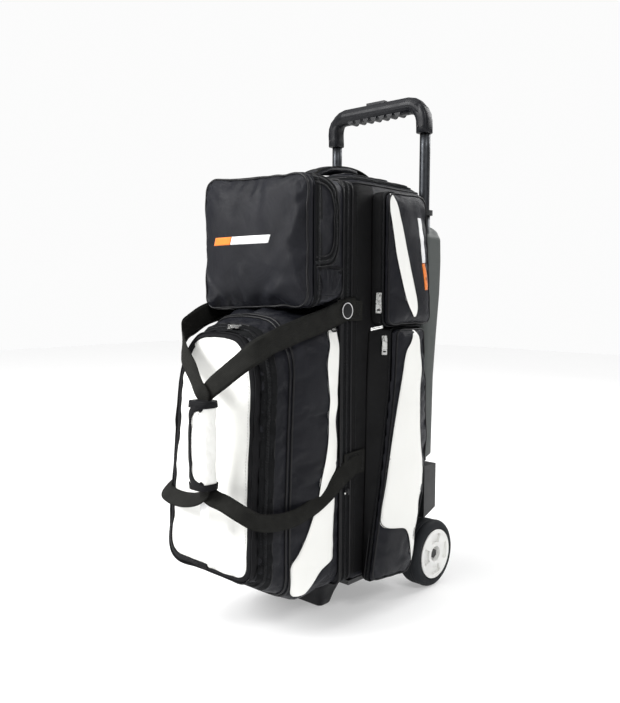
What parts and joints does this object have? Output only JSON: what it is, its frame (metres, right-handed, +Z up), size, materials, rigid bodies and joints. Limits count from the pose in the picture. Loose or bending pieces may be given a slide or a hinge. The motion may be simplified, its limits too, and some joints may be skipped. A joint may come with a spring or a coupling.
{
  "type": "bowling ball bag",
  "caption": "Upright inline roller bag for bowling balls with telescopic handle, wheels, front shoe compartment, accessory and side pockets and wrapped carry straps.",
  "frame": {"origin": "bottom centre of the bag's box, on the floor it stands on", "axes": "+Z up, -Y towards the front with the shoe compartment, +X towards the bag's side on the right when seen from the front"},
  "size_m": [0.3, 0.571, 0.929],
  "materials": {
    "black_nylon": "woven polyester, soft sheen",
    "zip_tape": "woven tape, matte",
    "webbing": "ribbed webbing, matte",
    "white_vinyl": "coated fabric, satin",
    "grey_plastic": "fine moulded grain",
    "black_plastic": "satin moulded",
    "foam": "closed-cell foam",
    "tyre_rubber": "matte rubber",
    "white_plastic": "satin moulded",
    "steel": "turned",
    "tube_metal": "dark anodised",
    "nickel": "nickel plate"
  },
  "bodies": {
    "bag": {"body_shell": "black_nylon", "base_board": "black_plastic", "front_foot": "black_plastic", "ball_cup_bottom": "foam", "ball_cup_middle": "foam", "ball_cup_top": "foam", "main_zip_band": "zip_tape", "door_board": "black_nylon", "shoe_compartment": "black_nylon", "shoe_flap": "white_vinyl", "accessory_case": "black_nylon", "back_shell": "grey_plastic", "axle": "steel", "shoe_zip_slider": "nickel", "carry_strap_right": "webbing", "carry_strap_left": "webbing", "grip_wrap": "white_vinyl", "top_handle": "webbing", "wheel_bracket_right": "grey_plastic", "axle_nut_right": "black_plastic", "outer_tube_right": "tube_metal", "tube_collar_right": "black_plastic", "upper_pocket_pan_right": "black_nylon", "lower_pocket_pan_right": "black_nylon", "wheel_bracket_left": "grey_plastic", "axle_nut_left": "black_plastic", "outer_tube_left": "tube_metal", "tube_collar_left": "black_plastic", "upper_pocket_pan_left": "black_nylon", "lower_pocket_pan_left": "black_nylon"},
    "handle": {"grip_lower": "black_plastic", "grip_upper": "black_plastic", "inner_tube_right": "tube_metal", "inner_tube_left": "tube_metal"},
    "button": {"release_button": "grey_plastic"},
    "wheel_right": {"tyre_right": "tyre_rubber", "hub_right": "white_plastic", "bearing_right": "steel"},
    "wheel_left": {"tyre_left": "tyre_rubber", "hub_left": "white_plastic", "bearing_left": "steel"},
    "accessory_lid": {"accessory_flap": "black_nylon"},
    "upper_lid_right": {"upper_pocket_flap_right": "black_nylon"},
    "lower_lid_right": {"lower_pocket_flap_right": "black_nylon"},
    "upper_pocket_zip_right_slider": {"upper_pocket_zip_right_slider": "nickel"},
    "upper_pocket_zip_right_pull": {"upper_pocket_zip_right_pull": "nickel"},
    "lower_pocket_zip_right_slider": {"lower_pocket_zip_right_slider": "nickel"},
    "lower_pocket_zip_right_pull": {"lower_pocket_zip_right_pull": "nickel"},
    "upper_lid_left": {"upper_pocket_flap_left": "black_nylon"},
    "lower_lid_left": {"lower_pocket_flap_left": "black_nylon"},
    "upper_pocket_zip_left_slider": {"upper_pocket_zip_left_slider": "nickel"},
    "upper_pocket_zip_left_pull": {"upper_pocket_zip_left_pull": "nickel"},
    "lower_pocket_zip_left_slider": {"lower_pocket_zip_left_slider": "nickel"},
    "lower_pocket_zip_left_pull": {"lower_pocket_zip_left_pull": "nickel"},
    "accessory_zip_slider": {"accessory_zip_slider": "nickel"},
    "accessory_zip_pull": {"accessory_zip_pull": "nickel"},
    "shoe_zip_pull": {"shoe_zip_pull": "nickel"},
    "main_zip_slider": {"main_zip_slider": "nickel"}
  },
  "joints": [
    {"name": "handle_slide", "type": "slide", "parent": "bag", "child": "handle", "axis": [0, 0, 1], "range_m": [-0.1, 0.135]},
    {"name": "button_press", "type": "slide", "parent": "handle", "child": "button", "axis": [0, 0, -1], "range_m": [0, 0.005], "stiffness_N_per_m": 300, "springref_m": -0.003},
    {"name": "wheel_spin_right", "type": "hinge", "parent": "bag", "child": "wheel_right", "pos_m": [0.124, 0.222, 0.0635], "axis": [1, 0, 0], "continuous": true},
    {"name": "wheel_spin_left", "type": "hinge", "parent": "bag", "child": "wheel_left", "pos_m": [-0.124, 0.222, 0.0635], "axis": [1, 0, 0], "continuous": true},
    {"name": "accessory_open", "type": "hinge", "parent": "bag", "child": "accessory_lid", "pos_m": [0, -0.1203, 0.54], "axis": [1, 0, 0], "range_deg": [0, 95]},
    {"name": "upper_pocket_open_right", "type": "hinge", "parent": "bag", "child": "upper_lid_right", "pos_m": [0.138, 0.1885, 0.618], "axis": [0, 0, 1], "range_deg": [0, 75]},
    {"name": "lower_pocket_open_right", "type": "hinge", "parent": "bag", "child": "lower_lid_right", "pos_m": [0.138, 0.1845, 0.276], "axis": [0, 0, 1], "range_deg": [0, 75]},
    {"name": "upper_pocket_zip_right_run", "type": "slide", "parent": "bag", "child": "upper_pocket_zip_right_slider", "axis": [0, 0, 1], "range_m": [-0.02, 0.14]},
    {"name": "upper_pocket_zip_right_swing", "type": "hinge", "parent": "upper_pocket_zip_right_slider", "child": "upper_pocket_zip_right_pull", "pos_m": [0.13402, 0.04854, 0.556], "axis": [-0.9171, -0.3987, 0], "range_deg": [0, 170]},
    {"name": "lower_pocket_zip_right_run", "type": "slide", "parent": "bag", "child": "lower_pocket_zip_right_slider", "axis": [0, 0.04, 0.9992], "range_m": [-0.05, 0.003]},
    {"name": "lower_pocket_zip_right_swing", "type": "hinge", "parent": "lower_pocket_zip_right_slider", "child": "lower_pocket_zip_right_pull", "pos_m": [0.13595, 0.06447, 0.48207], "axis": [-0.4589, -0.8878, 0.0355], "range_deg": [0, 110]},
    {"name": "upper_pocket_open_left", "type": "hinge", "parent": "bag", "child": "upper_lid_left", "pos_m": [-0.138, 0.1885, 0.618], "axis": [0, 0, -1], "range_deg": [0, 75]},
    {"name": "lower_pocket_open_left", "type": "hinge", "parent": "bag", "child": "lower_lid_left", "pos_m": [-0.138, 0.1845, 0.276], "axis": [0, 0, -1], "range_deg": [0, 75]},
    {"name": "upper_pocket_zip_left_run", "type": "slide", "parent": "bag", "child": "upper_pocket_zip_left_slider", "axis": [0, 0, 1], "range_m": [-0.02, 0.14]},
    {"name": "upper_pocket_zip_left_swing", "type": "hinge", "parent": "upper_pocket_zip_left_slider", "child": "upper_pocket_zip_left_pull", "pos_m": [-0.13402, 0.04854, 0.556], "axis": [-0.9171, 0.3987, 0], "range_deg": [0, 170]},
    {"name": "lower_pocket_zip_left_run", "type": "slide", "parent": "bag", "child": "lower_pocket_zip_left_slider", "axis": [0, 0.04, 0.9992], "range_m": [-0.05, 0.003]},
    {"name": "lower_pocket_zip_left_swing", "type": "hinge", "parent": "lower_pocket_zip_left_slider", "child": "lower_pocket_zip_left_pull", "pos_m": [-0.13595, 0.06447, 0.48207], "axis": [-0.4589, 0.8878, -0.0355], "range_deg": [0, 110]},
    {"name": "accessory_zip_run", "type": "slide", "parent": "bag", "child": "accessory_zip_slider", "axis": [0, 0, 1], "range_m": [-0.05, 0.07]},
    {"name": "accessory_zip_swing", "type": "hinge", "parent": "accessory_zip_slider", "child": "accessory_zip_pull", "pos_m": [-0.12815, -0.104, 0.64], "axis": [0, 1, 0], "range_deg": [0, 170]},
    {"name": "shoe_zip_swing", "type": "hinge", "parent": "bag", "child": "shoe_zip_pull", "pos_m": [0.012, -0.17984, 0.50655], "axis": [0, -0.8872, -0.4614], "range_deg": [0, 170]},
    {"name": "main_zip_run", "type": "slide", "parent": "bag", "child": "main_zip_slider", "axis": [0, 0, 1], "range_m": [-0.13, 0.003]}
  ]
}
